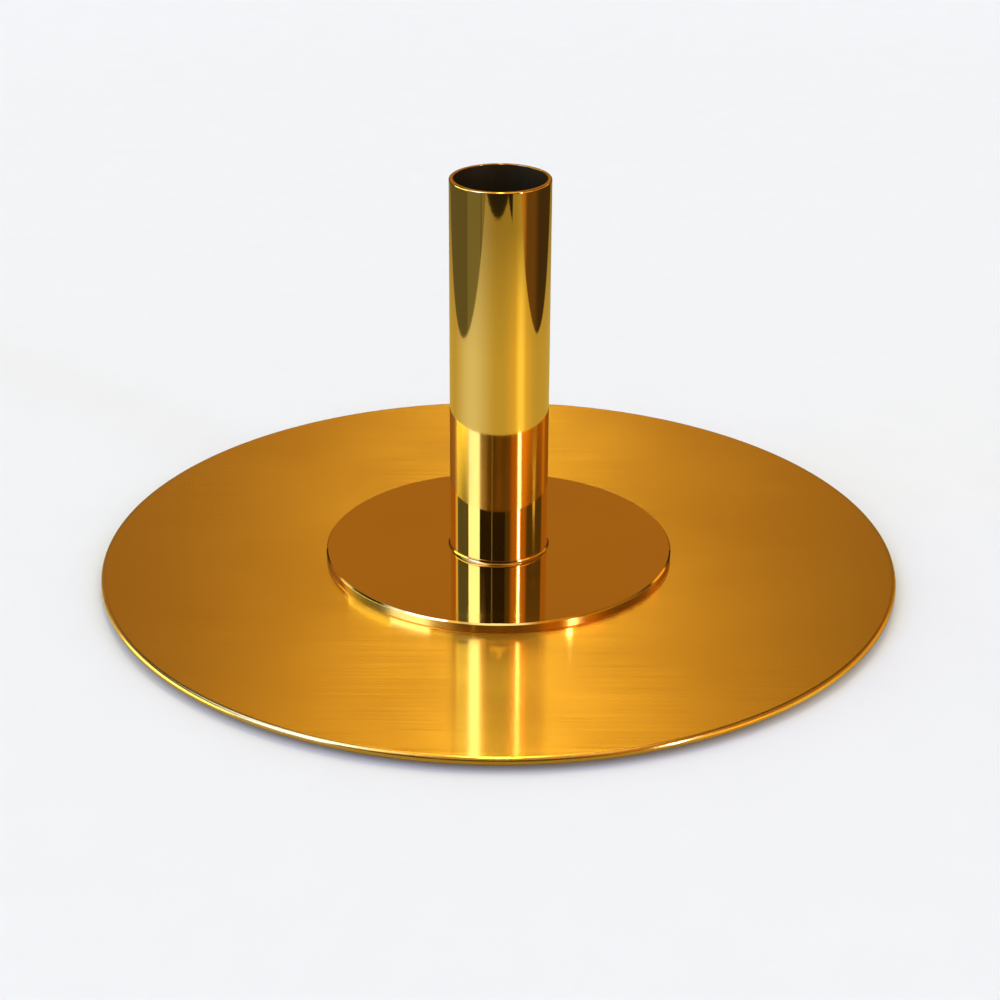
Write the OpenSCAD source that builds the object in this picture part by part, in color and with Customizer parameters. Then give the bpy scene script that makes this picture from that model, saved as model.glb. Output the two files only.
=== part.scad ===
// Table candle holder for one dinner candle: a bored tube brazed to a small
// polished disc, which one screw from below clamps to a wide brushed plate.
// Millimetres. The origin is on the table, on the tube's axis, and +Z is up.

/* [Plate] */
// Diameter of the wide plate
plate_d = 204; // [160:1:260]
// Thickness of the wide plate
plate_t = 2; // [2:0.1:3]

/* [Disc] */
// Diameter of the small disc
disc_d = 89; // [60:1:120]
// Thickness of the small disc
disc_t = 2.5; // [2:0.1:4]
// Bevel along the small disc's top edge
disc_bevel = 0.4; // [0.2:0.05:0.6]

/* [Tube] */
// Outside diameter of the tube
tube_d = 25; // [24.4:0.1:28]
// Length of the tube
tube_l = 98; // [70:1:140]
// Diameter of the candle socket that is bored into the tube's top
socket_d = 23; // [22.5:0.1:23.2]
// Depth of the candle socket, down to the ledge that the seat lies on
socket_depth = 28; // [20:1:35]
// Height of the brazed fillet round the tube's foot
braze_h = 1.2; // [0.8:0.1:1.5]

/* [Felt] */
// How far the felt stays in from the plate's edge
felt_margin = 5; // [2:0.5:20]
// Thickness of the felt pad
felt_t = 1.5; // [1:0.1:2]

/* [Hidden] */
$fn = 128;
cut = 1;              // how far a cutter runs past the face that it leaves
play = 0.05;          // gap on the radius between pieces that slide together

// Heights of the stack above the table
plate_z = felt_t;
disc_z = plate_z + plate_t;
tube_z = disc_z + disc_t;
tube_top = tube_z + tube_l;
ledge_z = tube_top - socket_depth;

// Plate and disc
disc_bevel_low = 0.25;

// Tube
tube_bore_d = 22;     // the bore below the socket
rim_bevel = 0.15;     // broken edge outside the mouth
mouth_bevel = 0.2;    // broken edge inside the mouth
relief_r = 0.2;       // tool runout groove at the foot of the socket, on the radius
relief_h = 1.2;       // its height, which takes in the seat's flange
braze_w = braze_h / 2;         // width of the fillet on the disc
braze_hollow = braze_h / 1.2;  // radius of its hollow face

// Foot plug
plug_l = 14;
spigot_d = 12;        // steps down through the disc and centres it
spigot_gap = 0.2;     // keeps the spigot off the plate, so that the disc is clamped

// Screw, M4 with a 90 degree head and a hexagon socket
thread_d = 4;
thread_pitch = 0.7;
thread_depth = 0.35;
clear_d = 4.5;        // hole through the plate
head_d = 8;
head_sink = 0.05;     // how far the head is let in past the plate's underside
screw_l = 14;
key_af = 2.5;         // hexagon across flats
key_depth = 1.5;
key_fn = 6;
tip_gap = 0.8;        // room past the screw's tip in the blind hole
drill_angle = 118;

// Candle seat
seat_t = 0.8;
seat_skirt_l = 5;
seat_hole_d = 4;      // vent, and a hold for the hook that lifts the seat out

// Felt
felt_d = plate_d - 2 * felt_margin;
felt_hole_d = 16;     // leaves the screw within reach

// A disc's half profile with a bevel along both outer edges, from the axis out
module bevelled_profile(radius, height, low, high) {
    polygon([[0, 0], [radius - low, 0], [radius, low],
             [radius, height - high], [radius - high, height], [0, height]]);
}

// Wide plate with a full round rim, and a countersunk hole that opens downwards
module base_plate() {
    rim_r = plate_t / 2;
    sink = (head_d + 2 * play - clear_d) / 2;
    color("goldenrod")
    translate([0, 0, plate_z])
    difference() {
        rotate_extrude() {
            square([plate_d / 2 - rim_r, plate_t]);
            intersection() {
                translate([plate_d / 2 - rim_r, rim_r]) circle(r = rim_r);
                square([plate_d / 2, plate_t]);
            }
        }
        translate([0, 0, -cut]) cylinder(d = clear_d, h = plate_t + 2 * cut);
        cylinder(d1 = head_d + 2 * play, d2 = clear_d, h = sink);
    }
}

// Small disc that the tube is brazed to
module base_disc() {
    color("gold")
    translate([0, 0, disc_z])
    difference() {
        rotate_extrude()
            bevelled_profile(disc_d / 2, disc_t, disc_bevel_low, disc_bevel);
        translate([0, 0, -cut]) cylinder(d = spigot_d + 2 * play, h = disc_t + 2 * cut);
    }
}

// Tube, bored wider at the top for the candle, with a ledge under the socket
module candle_tube() {
    r = tube_d / 2;
    socket_r = socket_d / 2;
    groove_r = socket_r + relief_r;
    bore_r = tube_bore_d / 2;
    color("gold")
    rotate_extrude()
        polygon([[bore_r, tube_z], [r, tube_z], [r, tube_top - rim_bevel],
                 [r - rim_bevel, tube_top], [socket_r + mouth_bevel, tube_top],
                 [socket_r, tube_top - mouth_bevel], [socket_r, ledge_z + relief_h],
                 [groove_r, ledge_z + relief_h], [groove_r, ledge_z], [bore_r, ledge_z]]);
}

// Ring of brazing metal with a hollow face, where the tube meets the disc
module braze_fillet() {
    color("khaki")
    rotate_extrude()
    translate([tube_d / 2, tube_z])
    difference() {
        square([braze_w, braze_h]);
        translate([0.85, 0.7975] * braze_h) circle(r = braze_hollow);
    }
}

// Turned plug in the tube's foot, tapped from below for the screw
module foot_plug() {
    hole_r = thread_d / 2;
    hole_top = plate_z + head_sink + screw_l + tip_gap;
    cone_h = hole_r / tan(drill_angle / 2);
    spigot_z = disc_z + spigot_gap;
    color("darkgoldenrod")
    difference() {
        union() {
            translate([0, 0, tube_z]) cylinder(d = tube_bore_d - 2 * play, h = plug_l);
            translate([0, 0, spigot_z]) cylinder(d = spigot_d, h = tube_z - spigot_z);
        }
        translate([0, 0, spigot_z - cut]) cylinder(r = hole_r, h = hole_top - spigot_z + cut);
        translate([0, 0, hole_top]) cylinder(r1 = hole_r, r2 = 0, h = cone_h);
    }
}

// Flanged cup that lies on the ledge and closes the socket
module candle_seat() {
    flange_r = socket_d / 2 - play;
    skirt_r = tube_bore_d / 2 - play;
    color("darkgoldenrod")
    rotate_extrude()
        polygon([[seat_hole_d / 2, ledge_z], [skirt_r - seat_t, ledge_z],
                 [skirt_r - seat_t, ledge_z - seat_skirt_l], [skirt_r, ledge_z - seat_skirt_l],
                 [skirt_r, ledge_z], [flange_r, ledge_z],
                 [flange_r, ledge_z + seat_t], [seat_hole_d / 2, ledge_z + seat_t]]);
}

// Countersunk screw, with the thread drawn as rings one pitch apart
module fixing_screw() {
    crest_r = thread_d / 2 - play;
    root_r = crest_r - thread_depth;
    cone_h = head_d / 2 - crest_r;
    turns = floor((screw_l - cone_h) / thread_pitch);
    start = screw_l - turns * thread_pitch;
    thread = [for (i = [0 : turns - 1])
        let (z = start + i * thread_pitch)
        each [[root_r, z], [crest_r, z + thread_pitch / 2]]];
    color("silver")
    translate([0, 0, plate_z + head_sink])
    difference() {
        rotate_extrude()
            polygon(concat([[0, 0], [head_d / 2, 0], [crest_r, cone_h]],
                           thread, [[root_r, screw_l], [0, screw_l]]));
        translate([0, 0, -cut])
            cylinder(d = key_af / cos(180 / key_fn), h = key_depth + cut, $fn = key_fn);
    }
}

// Felt pad glued under the plate
module felt_pad() {
    color("saddlebrown")
    difference() {
        cylinder(d = felt_d, h = felt_t);
        translate([0, 0, -cut]) cylinder(d = felt_hole_d, h = felt_t + 2 * cut);
    }
}

base_plate();
base_disc();
candle_tube();
braze_fillet();
foot_plug();
candle_seat();
fixing_screw();
felt_pad();
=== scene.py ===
"""Candle holder in brass: a brushed plate, a polished disc and a polished tube, on felt.

Everything is in metres and stands on the Z axis. Each CAD node is replaced by a finer mesh, spun round that
axis, whose size comes from the node's box.
"""

import math

import bmesh
import bpy
from mathutils import Matrix, Vector, noise


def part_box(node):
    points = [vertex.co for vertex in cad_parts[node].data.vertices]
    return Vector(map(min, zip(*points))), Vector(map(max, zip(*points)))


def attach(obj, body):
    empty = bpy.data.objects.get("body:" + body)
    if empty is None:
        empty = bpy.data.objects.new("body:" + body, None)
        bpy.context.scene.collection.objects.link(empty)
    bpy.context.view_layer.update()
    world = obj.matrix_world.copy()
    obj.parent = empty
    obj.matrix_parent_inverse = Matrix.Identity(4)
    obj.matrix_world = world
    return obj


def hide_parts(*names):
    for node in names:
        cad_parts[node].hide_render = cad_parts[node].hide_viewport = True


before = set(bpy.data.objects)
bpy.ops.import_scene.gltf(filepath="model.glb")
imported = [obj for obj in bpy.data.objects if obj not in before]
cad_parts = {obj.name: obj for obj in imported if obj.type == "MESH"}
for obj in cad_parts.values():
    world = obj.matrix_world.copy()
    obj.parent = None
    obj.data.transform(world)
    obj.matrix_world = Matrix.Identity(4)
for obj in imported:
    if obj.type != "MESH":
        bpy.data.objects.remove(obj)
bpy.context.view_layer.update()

MM = 0.001
TURNS_WIDE = 720                    # facets round the plate and the disc
TURNS = 384                         # round the tube and its fillet
TURNS_FELT = 480
TURNS_SEAT = 192
TURNS_THREAD = 96
ARC_STEPS = 6                       # facets along a rounded edge
ARC_GUARD = 0.12                    # how far past an arc its guard point lies, as a share of the rounding
SHARP_EDGE = math.radians(40)       # a sharper fold stays a crisp edge
WELD = 1e-8                         # points closer than this are one
SAME = 1e-7                         # radii closer than this are the same
BRUSH_MAP = "brush"

SEAT_SHEET = 0.8 * MM               # thickness of the metal that the seat is pressed from
PITCH = 0.7 * MM                    # of an M4 thread
THREAD_STEPS = 8                    # points along each pitch

BRASS = (0.93, 0.65, 0.2, 1)
BRASS_DEEP = (0.86, 0.55, 0.15, 1)


def shade_of(colour, share):
    """The same colour at that share of its brightness."""
    return [c * share for c in colour[:3]] + [1]


# ---------------------------------------------------------------- node graphs
class Graph:
    """Adds nodes to a node tree, and links or sets their inputs."""

    def __init__(self, tree):
        self.tree = tree
        tree.nodes.clear()

    def add(self, kind, inputs=None, **settings):
        node = self.tree.nodes.new("ShaderNode" + kind)
        for key, value in settings.items():
            setattr(node, key, value)
        for key, value in (inputs or {}).items():
            if isinstance(value, bpy.types.NodeSocket):
                self.tree.links.new(value, node.inputs[key])
            else:
                node.inputs[key].default_value = value
        return node

    def math(self, operation, a, b=0.0):
        return self.add("Math", {0: a, 1: b}, operation=operation).outputs[0]

    def span(self, value, lo, hi, out_lo=0.0, out_hi=1.0, curve="LINEAR"):
        """Maps lo..hi to out_lo..out_hi, and holds the ends."""
        inputs = {0: value, 1: lo, 2: hi, 3: out_lo, 4: out_hi}
        return self.add("MapRange", inputs, interpolation_type=curve).outputs[0]

    def mix(self, factor, a, b, mode="MIX"):
        node = self.add("Mix", {0: factor, 6: a, 7: b}, data_type="RGBA", blend_type=mode)
        return node.outputs[2]

    def place(self, scale=(1, 1, 1), turn=(0, 0, 0)):
        """The point on the piece in metres, stretched by scale."""
        at = self.add("TexCoord").outputs["Object"]
        return self.add("Mapping", {0: at, 2: turn, 3: scale}).outputs[0]

    def rings(self, across, around):
        """Coordinates for tool rings round Z: the first runs across them, and the other two round them."""
        x, y, z = self.add("SeparateXYZ", {0: self.add("TexCoord").outputs["Object"]}).outputs
        radius = self.math("SQRT", self.math("ADD", self.math("POWER", x, 2), self.math("POWER", y, 2)))
        far = self.math("MAXIMUM", radius, 0.1 * MM)
        inputs = {0: self.math("MULTIPLY", self.math("ADD", radius, z), across),
                  1: self.math("MULTIPLY", self.math("DIVIDE", x, far), around),
                  2: self.math("MULTIPLY", self.math("DIVIDE", y, far), around)}
        return self.add("CombineXYZ", inputs).outputs[0]

    def noise(self, at, scale, detail=3.0, rough=0.5):
        inputs = {"Vector": at, "Scale": scale, "Detail": detail, "Roughness": rough}
        return self.add("TexNoise", inputs).outputs[0]

    def bump(self, height, strength, distance, below=None):
        inputs = {"Height": height, "Strength": strength, "Distance": distance}
        if below is not None:
            inputs["Normal"] = below
        return self.add("Bump", inputs).outputs[0]

    def shader(self, kind, inputs):
        """Adds the shader and the output that shows it."""
        out = "OutputWorld" if kind == "Background" else "OutputMaterial"
        self.add(out, {0: self.add(kind, inputs).outputs[0]})


def material(name):
    """A new material, and the graph of its nodes."""
    made = bpy.data.materials.new(name)
    made.use_nodes = True
    return made, Graph(made.node_tree)


# ------------------------------------------------------------------ materials
# A noise's scale is its features per metre, and a bump's distance is in metres.
def polished_brass(name, colour, haze=0.035):
    """Mirror-polished brass with wiping smears, hairline scratches and a few specks of dust."""
    made, g = material(name)
    at = g.place()
    tone = g.mix(g.span(g.noise(at, 35), 0.35, 0.65), colour, shade_of(colour, 0.97))
    smear = g.span(g.noise(g.place((1, 3, 1)), 28, 4), 0.45, 0.75, haze, haze + 0.05)
    hairs = g.noise(g.place((60, 2600, 900), (0.3, 0.2, 0.6)), 1, 2)
    scratch = g.span(hairs, 0.7, 0.78, 0, 0.1)
    dust_at = g.add("TexVoronoi", {"Vector": at, "Scale": 110, "Randomness": 1})
    speck = g.span(dust_at.outputs["Distance"], 0.02, 0.045, 1, 0)
    few = g.span(g.noise(at, 47, 0), 0.62, 0.64)
    dust = g.math("MULTIPLY", speck, few)
    rough = g.math("ADD", g.math("ADD", smear, scratch), g.math("MULTIPLY", dust, 0.5))
    fine = g.bump(g.noise(at, 900, 2), 0.05, 0.02 * MM)
    relief = g.bump(dust, 0.3, 0.1 * MM, fine)
    g.shader("BsdfPrincipled", {
        "Base Color": g.mix(dust, tone, (0.75, 0.6, 0.4, 1)),
        "Metallic": 1.0, "Roughness": rough, "Normal": relief})
    return made


def brushed_brass(name, colour):
    """Brass brushed in straight lines along X, with a few scratches and a cloudy patina."""
    made, g = material(name)
    cloud = g.noise(g.place(), 16, 5, 0.55)
    tone = g.mix(g.span(cloud, 0.35, 0.68), colour, shade_of(colour, 0.93))
    line = g.noise(g.place((20, 1600, 1)), 1, 5, 0.65)
    streak = g.noise(g.place((9, 240, 1)), 1, 3)
    cloudy = g.span(cloud, 0.3, 0.7, 0.15, 0.19)
    rough = g.math("ADD", cloudy, g.span(line, 0.3, 0.7, -0.02, 0.02))
    scratch = g.span(g.noise(g.place((110, 2600, 1), (0, 0, 0.04)), 1, 2), 0.7, 0.78)
    relief = g.bump(g.math("ADD", g.math("ADD", line, streak), scratch), 0.05, 0.04 * MM)
    across = g.add("Tangent", direction_type="UV_MAP", uv_map=BRUSH_MAP).outputs[0]
    g.shader("BsdfPrincipled", {
        "Base Color": tone, "Metallic": 1.0, "Roughness": rough, "Normal": relief,
        "Anisotropic": 1.0, "Tangent": across})
    return made


def turned_brass(name, colour, rough_low=0.16, rough_high=0.3):
    """Machined brass: fine tool rings round the Z axis, and a faint tarnish."""
    made, g = material(name)
    tool = g.noise(g.rings(4000, 0.6), 1, 3)
    tarnish = g.noise(g.place(), 160, 3)
    g.shader("BsdfPrincipled", {
        "Base Color": g.mix(g.span(tarnish, 0.3, 0.7), colour, shade_of(colour, 0.85)),
        "Metallic": 1.0, "Roughness": g.span(tarnish, 0.3, 0.7, rough_low, rough_high),
        "Normal": g.bump(tool, 0.25, 0.03 * MM)})
    return made


def painted_dark_bore(name):
    """The unpolished inside of the tube: rough and faintly mottled, with its colour painted nearly black as
    the shade deep in the bore.
    """
    made, g = material(name)
    bore_mottle = g.noise(g.place((1, 1, 0.4)), 150, 4)
    # painted shade: both colours are near black, far darker than bare brass, to stand in for the shade deep
    # inside the tube
    brown, deepest_shade = (0.08, 0.056, 0.02, 1), (0.035, 0.026, 0.01, 1)
    g.shader("BsdfPrincipled", {
        "Base Color": g.mix(g.span(bore_mottle, 0.3, 0.7), brown, deepest_shade),
        "Metallic": 0.7, "Roughness": g.span(bore_mottle, 0.3, 0.7, 0.3, 0.55),
        "Normal": g.bump(g.noise(g.rings(3000, 1), 1, 3), 0.2, 0.03 * MM)})
    return made


def zinc_steel(name):
    """Zinc-plated steel with a faint cloudy bloom."""
    made, g = material(name)
    bloom = g.noise(g.place(), 500, 4)
    bright, dull = (0.66, 0.66, 0.63, 1), (0.5, 0.51, 0.52, 1)
    g.shader("BsdfPrincipled", {
        "Base Color": g.mix(g.span(bloom, 0.3, 0.7), bright, dull),
        "Metallic": 1.0, "Roughness": g.span(bloom, 0.3, 0.7, 0.22, 0.42),
        "Normal": g.bump(bloom, 0.1, 0.03 * MM)})
    return made


def felt(name):
    """Dense brown wool felt: matted fibres, fluff and a little lint."""
    made, g = material(name)
    at = g.place()
    fibre = g.noise(at, 2600, 4, 0.7)
    mat_down = g.noise(at, 420, 3)
    blotch = g.noise(at, 30, 3)
    gap, wool, faded, fluff = ((0.022, 0.011, 0.006, 1), (0.075, 0.041, 0.024, 1),
                               (0.05, 0.03, 0.02, 1), (0.22, 0.17, 0.13, 1))
    shade = g.mix(g.span(fibre, 0.3, 0.72), gap, wool)
    shade = g.mix(g.span(blotch, 0.4, 0.7, 0, 0.35), shade, faded)
    lint = g.span(g.noise(g.place((1, 5, 1), (0, 0, 0.7)), 900, 1), 0.74, 0.78)
    relief = g.bump(fibre, 0.7, 0.15 * MM, g.bump(mat_down, 0.6, 0.4 * MM))
    g.shader("BsdfPrincipled", {
        "Base Color": g.mix(lint, shade, fluff),
        "Roughness": 0.95, "Specular IOR Level": 0.15,
        "Sheen Weight": 0.35, "Sheen Roughness": 0.5, "Normal": relief})
    return made


def pale_floor(name, colour):
    """A matt floor with a very faint mottle."""
    made, g = material(name)
    grain = g.noise(g.place(), 60, 3)
    g.shader("BsdfPrincipled", {
        "Base Color": g.mix(g.span(grain, 0.3, 0.7), colour, shade_of(colour, 0.985)),
        "Roughness": 0.9, "Specular IOR Level": 0.0})
    return made


TABLE_TONE = (0.55, 0.42, 0.11, 1)
TABLE_PAINTED_GLOWS = [
    # azimuth and reach to each side, in degrees; whether it fades with distance; then the glow, which is
    # light painted into the table's own emission
    (-64, 62, False, (0.2, 0.3, 0.42)),     # painted cool light on the window's side
    (48, 44, True, (0.3, 0.16, 0.0)),       # the lamp's wide pool of light, painted
    (48, 16, True, (0.34, 0.36, 0.13)),     # and its painted bright middle
]


def painted_table_reflection(name):
    """The table as the metal mirrors it, a glowing sheet with its light and shade painted in: warm, with two
    painted pools of lamp light, a painted shadow where it meets the plate's rim, and dimmer further away.
    """
    made, g = material(name)
    x, y, _ = g.add("SeparateXYZ", {0: g.add("TexCoord").outputs["Object"]}).outputs
    far = g.math("SQRT", g.math("ADD", g.math("POWER", x, 2), g.math("POWER", y, 2)))
    azimuth = g.math("MULTIPLY", g.math("ARCTAN2", x, g.math("MULTIPLY", y, -1)), 180 / math.pi)
    tone = TABLE_TONE
    # painted light: pools of lamp and window light on the glowing table, some fading with distance
    for middle, reach, fades, glow in TABLE_PAINTED_GLOWS:
        off = g.math("ABSOLUTE", g.math("SUBTRACT", azimuth, middle))
        painted_glow = g.span(off, 0, reach, 1, 0, "SMOOTHSTEP")
        if fades:
            painted_glow = g.math("MULTIPLY", painted_glow, g.span(far, 0.22, 0.3, 1, 0.3))
        tone = g.mix(painted_glow, tone, g.mix(1.0, tone, [*glow, 1], "ADD"))
    # painted shadow: the table's glow drops under the plate's rim, and a painted fall-off of light dims it
    # further away
    painted_rim_shadow = g.span(far, 0.1, 0.106, 0.25, 1, "SMOOTHSTEP")
    g.shader("Emission", {0: tone, 1: g.math("MULTIPLY", painted_rim_shadow, g.span(far, 0.17, 0.3, 1, 0.6))})
    return made


# --------------------------------------------------------------------- shapes
def soft_outline(corners):
    """A closed (radius, height) outline in metres, with each (radius, height, rounding) corner as an arc.

    A point just past each arc's end keeps the flat beside it flat when the surface is shaded smooth.
    """
    outline = []
    count = len(corners)
    for i, (r, z, rounding) in enumerate(corners):
        here = Vector((r, z))
        if rounding <= 0:
            outline.append(here)
            continue
        before = (Vector(corners[i - 1][:2]) - here).normalized()
        after = (Vector(corners[(i + 1) % count][:2]) - here).normalized()
        half = before.angle(after) / 2
        reach = rounding / math.tan(half)
        middle = here + (before + after).normalized() * (rounding / math.sin(half))
        start = here + before * reach
        end = here + after * reach
        guard = rounding * ARC_GUARD
        outline.append(start + before * guard)
        first = start - middle
        sweep = first.angle_signed(end - middle)
        for step in range(ARC_STEPS + 1):
            turn = Matrix.Rotation(-sweep * step / ARC_STEPS, 2)
            outline.append(middle + turn @ first)
        outline.append(end + after * guard)
    return outline


def mesh_piece(name, points, faces):
    """A welded mesh in the scene, shaded smooth between its sharp edges."""
    mesh = bpy.data.meshes.new(name)
    mesh.from_pydata(points, [], faces)
    joined = bmesh.new()
    joined.from_mesh(mesh)
    bmesh.ops.remove_doubles(joined, verts=joined.verts, dist=WELD)
    joined.to_mesh(mesh)
    joined.free()
    mesh.validate()
    mesh.shade_smooth()
    mesh.set_sharp_from_angle(angle=SHARP_EDGE)
    piece = bpy.data.objects.new(name, mesh)
    bpy.context.scene.collection.objects.link(piece)
    return piece


def lathe(name, outline, turns=TURNS, bend=None):
    """Spins a closed outline of (radius, height) round Z. bend(radius, height, angle) may shift a point."""
    points = []
    for k in range(turns):
        angle = 2 * math.pi * k / turns
        for r, z in outline:
            if bend:
                r, z = bend(r, z, angle)
            points.append((r * math.cos(angle), r * math.sin(angle), z))
    count = len(outline)
    faces = []
    for k in range(turns):
        for i in range(count):
            j = (i + 1) % count
            a = k * count
            b = (k + 1) % turns * count
            faces.append((a + i, b + i, b + j, a + j))
    return mesh_piece(name, points, faces)


def map_across_brush(piece):
    """A UV map whose U runs along Y, across the brush lines, to aim the stretched highlight."""
    brush = piece.data.uv_layers.new(name=BRUSH_MAP).data
    for loop in piece.data.loops:
        x, y, _ = piece.data.vertices[loop.vertex_index].co
        brush[loop.index].uv = (y, x)


def finish_piece(piece, node, look):
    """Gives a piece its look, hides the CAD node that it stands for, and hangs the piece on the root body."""
    piece.data.materials.append(look)
    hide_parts(node)
    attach(piece, "root")
    return piece


# --------------------------------------------------------------------- pieces
def base_plate():
    """Thin plate with a full round rim, and a hole countersunk from below."""
    low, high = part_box("base_plate")
    radius, thick = high.x, high.z - low.z
    hole, head, sink = 2.25 * MM, 4.05 * MM, 1.8 * MM
    rim = thick / 2 * 0.999         # just short of a full round, so that its two arcs don't meet
    outline = soft_outline([
        (hole, low.z + sink, 0), (head, low.z, 0.03 * MM),
        (radius, low.z, rim), (radius, high.z, rim), (hole, high.z, 0.05 * MM)])
    piece = lathe("plate_brushed", outline, TURNS_WIDE)
    map_across_brush(piece)
    finish_piece(piece, "base_plate", brushed_brass("brushed_brass", BRASS))


def base_disc(look):
    """Thin disc with a bevel round its top edge and a hole for the plug's spigot."""
    low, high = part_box("base_disc")
    radius, hole = high.x, 6.05 * MM
    bevel, bevel_low, edge = 0.4 * MM, 0.25 * MM, 0.08 * MM
    outline = soft_outline([
        (hole, low.z, edge), (radius - bevel_low, low.z, edge), (radius, low.z + bevel_low, edge),
        (radius, high.z - bevel, edge), (radius - bevel, high.z, edge), (hole, high.z, edge)])
    finish_piece(lathe("disc_polished", outline, TURNS_WIDE), "base_disc", look)


def candle_tube(look):
    """Tube with a wider socket at the top, and a relief groove where the seat rests on the socket's ledge."""
    low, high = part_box("candle_tube")
    radius, bore, socket, groove = high.x, 11 * MM, 11.5 * MM, 11.7 * MM
    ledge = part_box("candle_seat")[1].z - SEAT_SHEET
    relief = ledge + 1.2 * MM
    outline = soft_outline([
        (bore, low.z, 0.1 * MM), (radius, low.z, 0.02 * MM), (radius, high.z, 0.36 * MM),
        (socket, high.z, 0.08 * MM), (socket, relief, 0.05 * MM), (groove, relief, 0.05 * MM),
        (groove, ledge, 0.1 * MM), (bore, ledge, 0.1 * MM)])
    piece = finish_piece(lathe("tube_polished", outline), "candle_tube", look)
    piece.data.materials.append(painted_dark_bore("painted_dark_bore"))
    near = 0.1 * MM
    for face in piece.data.polygons:
        if face.center.xy.length < groove + near and face.center.z < high.z - near:
            face.material_index = 1


def braze_fillet(look):
    """The slim hollow fillet of brazing metal, whose size wanders a little as hand-dressed metal does.

    Its hollow is an arc round a point outside it, from the disc up to the tube.
    """
    low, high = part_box("braze_fillet")
    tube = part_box("candle_tube")[1].x
    height = high.z - low.z
    middle = Vector((tube + 0.85 * height, low.z + 0.7975 * height))
    hollow = height / 1.2
    arc_start, arc_sweep, steps = 245.1, 79.1, 14
    outline = [(tube, low.z), (tube + height / 2, low.z)]
    for step in range(steps + 1):
        turn = math.radians(arc_start - arc_sweep * step / steps)
        outline.append((middle.x + hollow * math.cos(turn), middle.y + hollow * math.sin(turn)))
    outline.append((tube, high.z))

    def wander(r, z, angle):
        spot = Vector((math.cos(angle) * 2.2, math.sin(angle) * 2.2, 0.4))
        keep = 0.86 + 0.13 * noise.noise(spot)
        return tube + (r - tube) * keep, low.z + (z - low.z) * keep

    finish_piece(lathe("fillet_brazed", outline, bend=wander), "braze_fillet", look)


def candle_seat(look):
    """Pressed cup, upside down: a flange that rests on the ledge, and a skirt inside the bore."""
    low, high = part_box("candle_seat")
    flange, skirt, hole = high.x, 10.95 * MM, 2 * MM
    top, under, inside = high.z, high.z - SEAT_SHEET, skirt - SEAT_SHEET
    outline = soft_outline([
        (hole, under, 0.1 * MM), (inside, under, 0.1 * MM), (inside, low.z, 0.1 * MM),
        (skirt, low.z, 0.1 * MM), (skirt, under, 0.05 * MM), (flange, under, 0.1 * MM),
        (flange, top, 0.3 * MM), (hole, top, 0.3 * MM)])
    finish_piece(lathe("seat_pressed", outline, TURNS_SEAT), "candle_seat", look)


def thread_wave(z, angle):
    """0 at the crest and 1 at the root of a right-hand thread, with a flat on each."""
    turn = (z / PITCH - angle / (2 * math.pi)) % 1
    return min(1, max(0, abs(2 * turn - 1) * 1.35 - 0.2))


def thread_heights(start, end):
    """Heights from start to end that are close enough to show a thread's shape."""
    count = round(abs(end - start) / (PITCH / THREAD_STEPS))
    return [start + (end - start) * i / count for i in range(count + 1)]


def foot_plug(look):
    """Turned plug with a spigot below, and a threaded blind hole for the screw."""
    low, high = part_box("foot_plug")
    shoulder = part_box("candle_tube")[0].z
    radius, spigot, hole, depth = high.x, 6 * MM, 2 * MM, 0.24 * MM
    hole_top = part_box("fixing_screw")[0].z + 14.8 * MM
    tip = hole_top + 1.2 * MM
    thread_top = hole_top - 2 * PITCH
    edges = soft_outline([
        (spigot, low.z, 0.3 * MM), (spigot, shoulder, 0), (radius, shoulder, 0.3 * MM),
        (radius, high.z, 0.6 * MM), (0.001 * MM, high.z, 0)])
    bore = [(hole, z) for z in thread_heights(hole_top, low.z + 0.5 * MM)]
    outline = edges + [(0, high.z), (0, tip), *bore, (hole + 0.35 * MM, low.z)]

    def threaded(r, z, angle):
        if abs(r - hole) < SAME and z < thread_top:
            r += depth * (1 - thread_wave(z, angle)) * min(1, (thread_top - z) / PITCH)
        return r, z

    finish_piece(lathe("plug_turned", outline, TURNS_THREAD, threaded), "foot_plug", look)


def fixing_screw(look):
    """Countersunk M4 screw with a hexagon socket and a helical thread."""
    low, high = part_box("fixing_screw")
    head, crest, depth = high.x, 1.95 * MM, 0.35 * MM
    half_key, key_depth, land = 1.25 * MM, 1.5 * MM, 0.12 * MM
    half_side = math.pi / 6         # half of the angle that a hexagon's side takes up
    mouth = half_key / math.cos(half_side) + 0.12 * MM
    neck = low.z + head - crest
    thread_foot = neck + 0.2 * MM
    shank = [(crest, z) for z in thread_heights(neck, high.z - 0.6 * MM)]
    outline = [
        (0, low.z + key_depth), (half_key, low.z + key_depth), (half_key, low.z + 0.15 * MM),
        (mouth, low.z), (mouth + 0.03 * MM, low.z), (head - land, low.z), (head, low.z + land), *shank,
        (crest - 0.5 * MM, high.z), (0, high.z)]

    def cut(r, z, angle):
        if abs(r - half_key) < SAME:
            side = (angle + half_side) % (2 * half_side) - half_side
            r = half_key / math.cos(side)
        elif abs(r - crest) < SAME and z > thread_foot:
            r -= depth * thread_wave(z, angle) * min(1, (z - thread_foot) / PITCH)
        return r, z

    finish_piece(lathe("screw_zinc", outline, TURNS_THREAD, cut), "fixing_screw", look)


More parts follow.
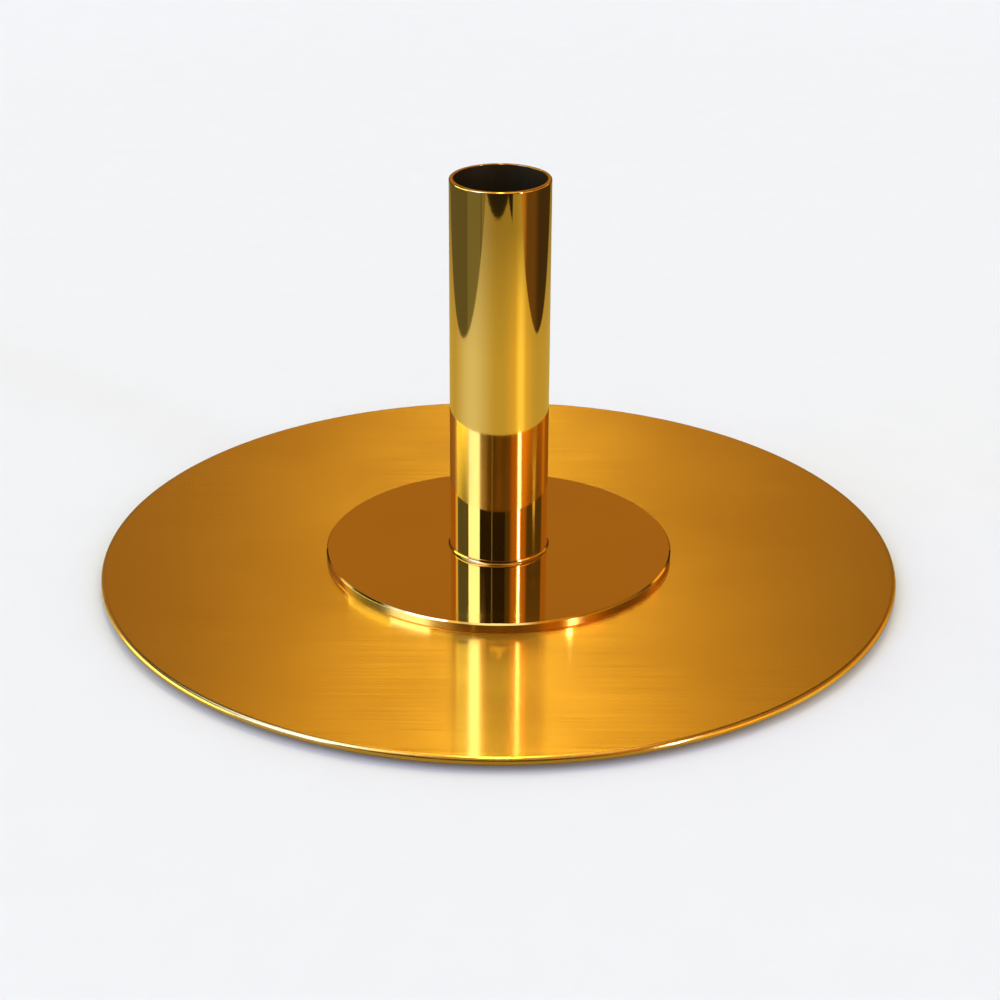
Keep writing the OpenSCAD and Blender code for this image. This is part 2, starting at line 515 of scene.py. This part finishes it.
def felt_pad():
    """Felt ring with a cut edge that wanders, and a matted underside."""
    low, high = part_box("felt_pad")
    radius, hole = high.x, 8 * MM
    rings = 40
    top = [(hole + (radius - hole) * i / rings, high.z) for i in range(rings + 1)]
    side = [(radius, low.z + (high.z - low.z) * f) for f in (0.75, 0.5, 0.25)]
    bottom = [(r, low.z) for r, _ in reversed(top)]
    inner = [(hole, low.z + (high.z - low.z) * f) for f in (0.25, 0.5, 0.75)]

    def matted(r, z, angle):
        spot = Vector((r * math.cos(angle), r * math.sin(angle), z))
        ripple = abs(noise.noise(spot * 160)) * 0.08 * MM
        cut = noise.noise(spot * 420) * 0.12 * MM
        if r > radius - MM:
            r -= abs(cut) + (0.12 * MM if z in (low.z, high.z) else 0)
        elif r < hole + MM:
            r += abs(cut)
        return r, z + (ripple if z < low.z + 0.1 * MM else 0)

    piece = lathe("felt_ring", top + side + bottom + inner, TURNS_FELT, matted)
    finish_piece(piece, "felt_pad", felt("brown_felt"))


# ---------------------------------------------------------------------- stage
PANELS = [
    # azimuth and half width, low and high edge, and softness, all in degrees; then the glow
    ((180, 90), (68, 100), 5, (1.5, 0.95, 0.35)),         # the ceiling, behind
    ((180, 14), (38, 60), 6, (1.05, 0.6, 0.08)),          # a warm glow below it
    ((180, 8), (38, 60), 4, (1.1, 0.65, 0.08)),           # and its brighter middle
    ((180, 5), (62, 80), 3, (36.0, 28.0, 6.3)),           # a bright narrow strip on the ceiling
    ((180, 58), (10, 31), 4, (0.37, 0.16, 0.02)),         # the warm wall behind
    ((-61, 15), (10, 60), 1.5, (1.8, 2.3, 5.5)),          # the window, front left
    ((-50, 17), (31, 70), 5, (0.7, 0.6, 0.3)),            # its glow on the wall
    ((-97, 22), (18, 31), 2, (0.08, 0.115, 0.16)),        # the wall on the left
    ((-97, 25), (42, 80), 3, (1.1, 1.4, 2.4)),            # the sky light over that wall
    ((-97, 22), (-2, 23), 1, (2.8, 3.0, 1.1)),            # and the light below it
    ((-119, 5), (14, 32), 1.5, (0.7, 0.6, 0.35)),         # a narrow light behind on the left
    ((-16, 0.6), (12, 34), 0.6, (0.4, 0.4, 0.3)),         # a thin upright line in front
    ((48, 1.5), (5, 28.5), 0.9, (17, 18, 34)),            # the lamp, front right
    ((48, 5), (5, 32), 2, (0.9, 0.9, 0.8)),               # its shade
    ((48, 19), (10, 60), 6, (0.4, 0.14, 0.0)),            # its halo
    ((0, 50), (33, 80), 5, (0.3, 0.13, 0.015)),           # the upper wall in front
    ((0, 60), (60, 67), 1, (0.9, 1.1, 1.2)),              # and a cool band along its top
    ((95, 42), (31, 80), 5, (0.3, 0.14, 0.012)),          # the upper wall on the right
    ((95, 40), (0, 22), 1.5, (0.85, 0.33, 0.02)),         # the lower wall on the right
    ((64, 12), (0, 22), 1.5, (1.0, 0.42, 0.02)),          # brighter next to the lamp
    ((70, 55), (22, 31), 2, (0.06, 0.045, 0.03)),         # the dim band between the two walls
    ((91, 4), (24.0, 25.2), 0.2, (1.6, 1.4, 0.7)),        # a thin bright line on the right
    ((-112, 36), (-70, -1), 2, (0.1, 0.094, 0.05)),       # the room past the table's edges: left,
    ((-60, 17), (-70, -4), 3, (0.166, 0.16, 0.085)),      # front left,
    ((-36, 6), (-70, -15), 1, (0.2, 0.17, 0.07)),         # further to the front,
    ((50, 8), (-70, -9), 6, (0.36, 0.16, 0.018)),         # below the lamp,
    ((66, 24), (-70, 0), 10, (0.09, 0.036, 0.006)),       # front right,
    ((105, 60), (-70, -1), 3, (0.034, 0.017, 0.004)),     # and right
]
DIM_ROOM = (0.022, 0.017, 0.01, 1)
ROOM_ON_MATT = (1.0, 1.0, 1.0, 1)       # what lights the matt surfaces, so that the floor stays pale
BACKGROUND = (0.9, 0.9, 0.9, 1)         # past the floor's edge

TABLE_OUTLINE = [
    (-0.182, 0.8), (-0.182, -0.3), (0.103, -0.326), (0.139, -0.278), (0.18, -0.335), (0.25, -0.34),
    (0.25, -0.23), (0.212, -0.14), (0.186, 0), (0.186, 0.8)]


def studio_light():
    """The room as the metal mirrors it: dim, with soft panels. Azimuth 0 is in front, and + is to the right.

    Matt surfaces are lit by an even white dome instead.
    """
    world = bpy.data.worlds.new("studio")
    bpy.context.scene.world = world
    world.use_nodes = True
    g = Graph(world.node_tree)
    ray = g.add("SeparateXYZ", {0: g.add("TexCoord").outputs["Generated"]}).outputs
    height = g.math("MULTIPLY", g.math("ARCSINE", ray[2]), 180 / math.pi)
    flat = g.math("SQRT", g.math("SUBTRACT", 1.00001, g.math("POWER", ray[2], 2)))
    light = DIM_ROOM
    for (azimuth, half), (low, high), soft, glow in PANELS:
        a = math.radians(azimuth)
        facing = g.math("ADD", g.math("MULTIPLY", ray[0], math.sin(a)),
                        g.math("MULTIPLY", ray[1], -math.cos(a)))
        off = g.math("MULTIPLY", g.math("ARCCOSINE", g.math("DIVIDE", facing, flat)), 180 / math.pi)
        side = g.span(off, half - soft, half + soft, 1, 0, "SMOOTHSTEP")
        foot = g.span(height, low - soft, low + soft, 0, 1, "SMOOTHSTEP")
        top = g.span(height, high - soft, high + soft, 1, 0, "SMOOTHSTEP")
        window = g.math("MULTIPLY", side, g.math("MULTIPLY", foot, top))
        light = g.mix(window, light, g.mix(1.0, light, [*glow, 1], "ADD"))
    path = g.add("LightPath").outputs
    light = g.mix(path["Is Diffuse Ray"], light, ROOM_ON_MATT)
    g.shader("Background", {0: g.mix(path["Is Camera Ray"], light, BACKGROUND), 1: 1.0})


def ground(name, corners, height, look):
    """A flat polygon at the given height."""
    piece = mesh_piece(name, [(x, y, height) for x, y in corners], [tuple(range(len(corners)))])
    piece.data.materials.append(look)
    return piece


def stage():
    """A pale floor. The metal mirrors a small warm table top instead, a sheet that glows with painted light
    and a painted shadow, and the dim room past its edges.
    """
    square = [(-6, -6), (6, -6), (6, 6), (-6, 6)]
    floor = ground("floor", square, 0, pale_floor("pale_floor", (0.705, 0.727, 0.735, 1)))
    floor.visible_glossy = False
    table = ground("table_top", TABLE_OUTLINE, 0.1 * MM, painted_table_reflection("painted_table_reflection"))
    table.visible_camera = False
    table.visible_diffuse = False
    table.visible_shadow = False
    table.visible_transmission = False


def camera():
    """The view from the front, 25 degrees down, with a short telephoto lens."""
    data = bpy.data.cameras.new("camera")
    data.lens = 80.26
    data.sensor_width = 36
    data.clip_start = 0.01
    data.clip_end = 50
    cam = bpy.data.objects.new("camera", data)
    cam.matrix_world = (Matrix.Translation((0.0003, -0.51915, 0.26071))
                        @ Matrix.Rotation(math.radians(90 - 25.024), 4, "X")
                        @ Matrix.Rotation(math.radians(0.315), 4, "Z"))
    bpy.context.scene.collection.objects.link(cam)
    bpy.context.scene.camera = cam


camera()
studio_light()
stage()
bpy.context.scene.view_settings.view_transform = "Standard"

polish = polished_brass("polished_brass", BRASS)
base_plate()
base_disc(polish)
candle_tube(polish)
braze_fillet(polished_brass("braze_alloy", (0.62, 0.42, 0.13, 1), 0.1))
candle_seat(turned_brass("pressed_brass", BRASS_DEEP, 0.25, 0.4))
felt_pad()
foot_plug(turned_brass("turned_brass", BRASS_DEEP))
fixing_screw(zinc_steel("screw_steel"))
